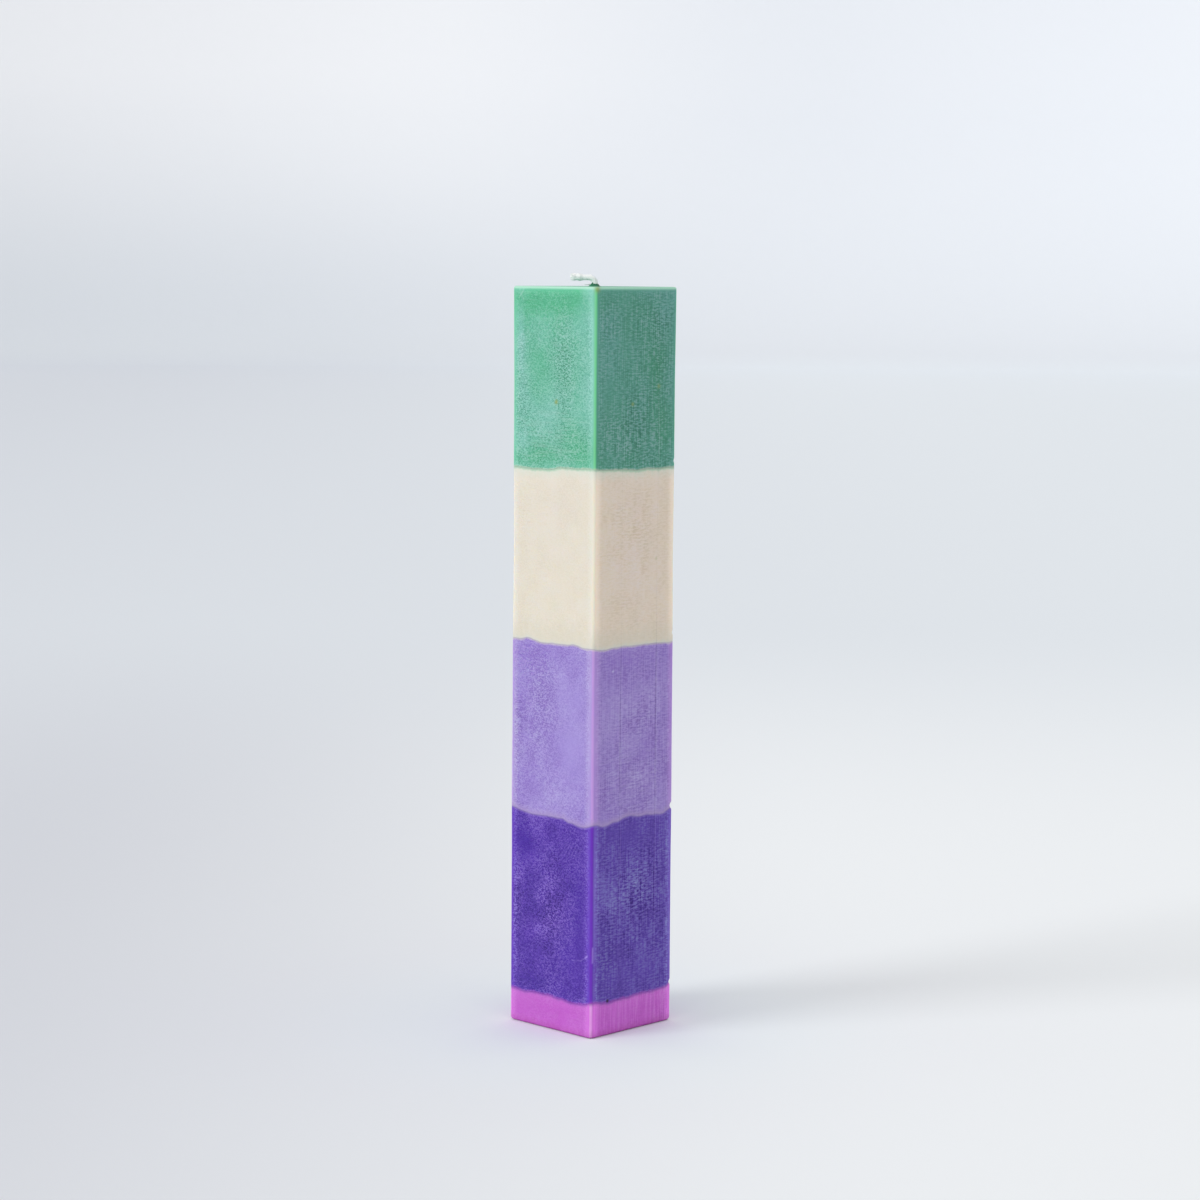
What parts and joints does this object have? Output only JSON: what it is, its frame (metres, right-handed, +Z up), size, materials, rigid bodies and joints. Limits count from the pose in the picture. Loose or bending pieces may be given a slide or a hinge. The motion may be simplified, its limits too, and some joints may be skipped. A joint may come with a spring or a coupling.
{
  "type": "candle",
  "caption": "Tall square pillar candle cast in stacked bands of coloured wax round a cotton wick bent over at the top.",
  "frame": {"origin": "middle of the foot, on the surface that the candle stands on", "axes": "+Z up along the wick; the faces look along X and Y; the upright edge at -X, -Y is the one nearest the viewer in the picture, and the wick's tip points to -X, +Y"},
  "size_m": [0.04, 0.04, 0.2594],
  "materials": {
    "magenta_wax": "cast dyed wax, satin",
    "violet_wax": "cast dyed wax, satin with a pale frost bloom",
    "lavender_wax": "cast dyed wax, satin with a pale frost bloom",
    "cream_wax": "cast undyed wax, satin",
    "green_wax": "cast dyed wax, satin with a pale frost bloom",
    "wick_cotton": "waxed braided cotton, frayed at the tip"
  },
  "bodies": {
    "root": {"magenta_wax_foot": "magenta_wax", "violet_wax_layer": "violet_wax", "lavender_wax_layer": "lavender_wax", "cream_wax_layer": "cream_wax", "green_wax_layer": "green_wax", "cotton_wick": "wick_cotton"}
  },
  "joints": []
}
